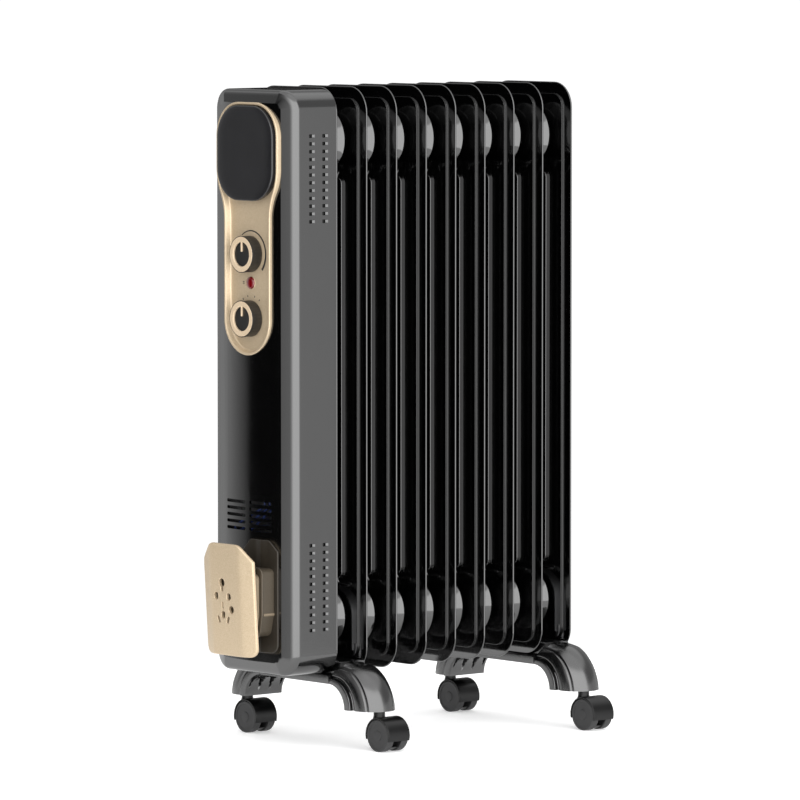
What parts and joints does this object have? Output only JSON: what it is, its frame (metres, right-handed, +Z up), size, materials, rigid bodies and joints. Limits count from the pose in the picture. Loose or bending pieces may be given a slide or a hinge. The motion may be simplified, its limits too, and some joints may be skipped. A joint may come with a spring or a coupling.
{
  "type": "oil filled radiator heater",
  "caption": "Free-standing oil filled radiator: a row of black pressed fins, a control case with two dials, a cord winder, and legs on swivelling twin-wheel casters.",
  "frame": {"origin": "on the floor, under the middle of the heater's length and on the fins' middle plane", "axes": "+Z up, -Y towards the control case, X across the heater"},
  "size_m": [0.2369, 0.3939, 0.62],
  "materials": {
    "enamel": "gloss black stove enamel",
    "case_plastic": "satin to gloss black",
    "champagne": "satin champagne gold paint",
    "badge_plastic": "high gloss black",
    "dial_plastic": "fine satin dark brown black",
    "dial_gold": "champagne gold",
    "lens": "dark red clear plastic",
    "nylon": "natural nylon",
    "steel": "plain steel",
    "wire_cover": "heat resistant silicone sleeve",
    "gland_rubber": "matte black",
    "leg_plastic": "gloss black moulding",
    "hood_plastic": "satin black",
    "wheel_plastic": "matte dark grey"
  },
  "bodies": {
    "heater": {"fin_1": "enamel", "fin_2": "enamel", "fin_3": "enamel", "fin_4": "enamel", "fin_5": "enamel", "fin_6": "enamel", "fin_7": "enamel", "fin_8": "enamel", "fin_9": "enamel", "upper_header_cap": "enamel", "element_flange": "enamel", "case_shell": "case_plastic", "control_panel": "champagne", "badge_plate": "badge_plastic", "indicator_lens": "lens", "lamp_body": "nylon", "heat_shield": "steel", "case_screws": "steel", "winder_screws": "steel", "heating_elements": "steel", "thermostat_body": "nylon", "selector_body": "nylon", "thermal_cutout": "steel", "tilt_switch": "nylon", "terminal_block": "nylon", "wiring": "wire_cover", "cord_gland": "gland_rubber", "winder_back_plate": "champagne", "winder_drum_rear": "champagne", "winder_drum_front": "champagne", "winder_front_plate": "champagne", "leg_front": "leg_plastic", "leg_rear": "leg_plastic", "leg_strap_front": "enamel", "leg_strap_rear": "enamel", "leg_nuts": "steel"},
    "thermostat_dial": {"thermostat_knob": "dial_plastic", "thermostat_knob_ring": "dial_gold", "thermostat_spindle": "steel"},
    "selector_dial": {"selector_knob": "dial_plastic", "selector_knob_ring": "dial_gold", "selector_spindle": "steel"},
    "tilt_weight": {"tilt_pendulum": "steel"},
    "caster_front_left": {"caster_front_left_hood": "hood_plastic", "caster_front_left_pins": "steel"},
    "wheel_front_left_a": {"caster_front_left_wheel_a": "wheel_plastic"},
    "wheel_front_left_b": {"caster_front_left_wheel_b": "wheel_plastic"},
    "caster_front_right": {"caster_front_right_hood": "hood_plastic", "caster_front_right_pins": "steel"},
    "wheel_front_right_a": {"caster_front_right_wheel_a": "wheel_plastic"},
    "wheel_front_right_b": {"caster_front_right_wheel_b": "wheel_plastic"},
    "caster_rear_left": {"caster_rear_left_hood": "hood_plastic", "caster_rear_left_pins": "steel"},
    "wheel_rear_left_a": {"caster_rear_left_wheel_a": "wheel_plastic"},
    "wheel_rear_left_b": {"caster_rear_left_wheel_b": "wheel_plastic"},
    "caster_rear_right": {"caster_rear_right_hood": "hood_plastic", "caster_rear_right_pins": "steel"},
    "wheel_rear_right_a": {"caster_rear_right_wheel_a": "wheel_plastic"},
    "wheel_rear_right_b": {"caster_rear_right_wheel_b": "wheel_plastic"}
  },
  "joints": [
    {"name": "thermostat_turn", "type": "hinge", "parent": "heater", "child": "thermostat_dial", "pos_m": [0, -0.1759, 0.464], "axis": [0, 1, 0], "range_deg": [-30, 135]},
    {"name": "selector_turn", "type": "hinge", "parent": "heater", "child": "selector_dial", "pos_m": [0, -0.1759, 0.4035], "axis": [0, 1, 0], "range_deg": [-45, 90]},
    {"name": "tilt_weight_swing", "type": "hinge", "parent": "heater", "child": "tilt_weight", "pos_m": [0, -0.146, 0.34], "axis": [0, 1, 0], "range_deg": [-35, 35]},
    {"name": "caster_front_left_swivel", "type": "hinge", "parent": "heater", "child": "caster_front_left", "pos_m": [-0.0981, -0.08933, 0.037], "axis": [0, 0, 1], "continuous": true},
    {"name": "wheel_front_left_a_spin", "type": "hinge", "parent": "caster_front_left", "child": "wheel_front_left_a", "pos_m": [-0.086, -0.08933, 0.0152], "axis": [0, 1, 0], "continuous": true},
    {"name": "wheel_front_left_b_spin", "type": "hinge", "parent": "caster_front_left", "child": "wheel_front_left_b", "pos_m": [-0.086, -0.08933, 0.0152], "axis": [0, 1, 0], "continuous": true},
    {"name": "caster_front_right_swivel", "type": "hinge", "parent": "heater", "child": "caster_front_right", "pos_m": [0.0981, -0.08933, 0.037], "axis": [0, 0, 1], "continuous": true},
    {"name": "wheel_front_right_a_spin", "type": "hinge", "parent": "caster_front_right", "child": "wheel_front_right_a", "pos_m": [0.1102, -0.08933, 0.0152], "axis": [0, 1, 0], "continuous": true},
    {"name": "wheel_front_right_b_spin", "type": "hinge", "parent": "caster_front_right", "child": "wheel_front_right_b", "pos_m": [0.1102, -0.08933, 0.0152], "axis": [0, 1, 0], "continuous": true},
    {"name": "caster_rear_left_swivel", "type": "hinge", "parent": "heater", "child": "caster_rear_left", "pos_m": [-0.0981, 0.16781, 0.037], "axis": [0, 0, 1], "continuous": true},
    {"name": "wheel_rear_left_a_spin", "type": "hinge", "parent": "caster_rear_left", "child": "wheel_rear_left_a", "pos_m": [-0.086, 0.16781, 0.0152], "axis": [0, 1, 0], "continuous": true},
    {"name": "wheel_rear_left_b_spin", "type": "hinge", "parent": "caster_rear_left", "child": "wheel_rear_left_b", "pos_m": [-0.086, 0.16781, 0.0152], "axis": [0, 1, 0], "continuous": true},
    {"name": "caster_rear_right_swivel", "type": "hinge", "parent": "heater", "child": "caster_rear_right", "pos_m": [0.0981, 0.16781, 0.037], "axis": [0, 0, 1], "continuous": true},
    {"name": "wheel_rear_right_a_spin", "type": "hinge", "parent": "caster_rear_right", "child": "wheel_rear_right_a", "pos_m": [0.1102, 0.16781, 0.0152], "axis": [0, 1, 0], "continuous": true},
    {"name": "wheel_rear_right_b_spin", "type": "hinge", "parent": "caster_rear_right", "child": "wheel_rear_right_b", "pos_m": [0.1102, 0.16781, 0.0152], "axis": [0, 1, 0], "continuous": true}
  ]
}
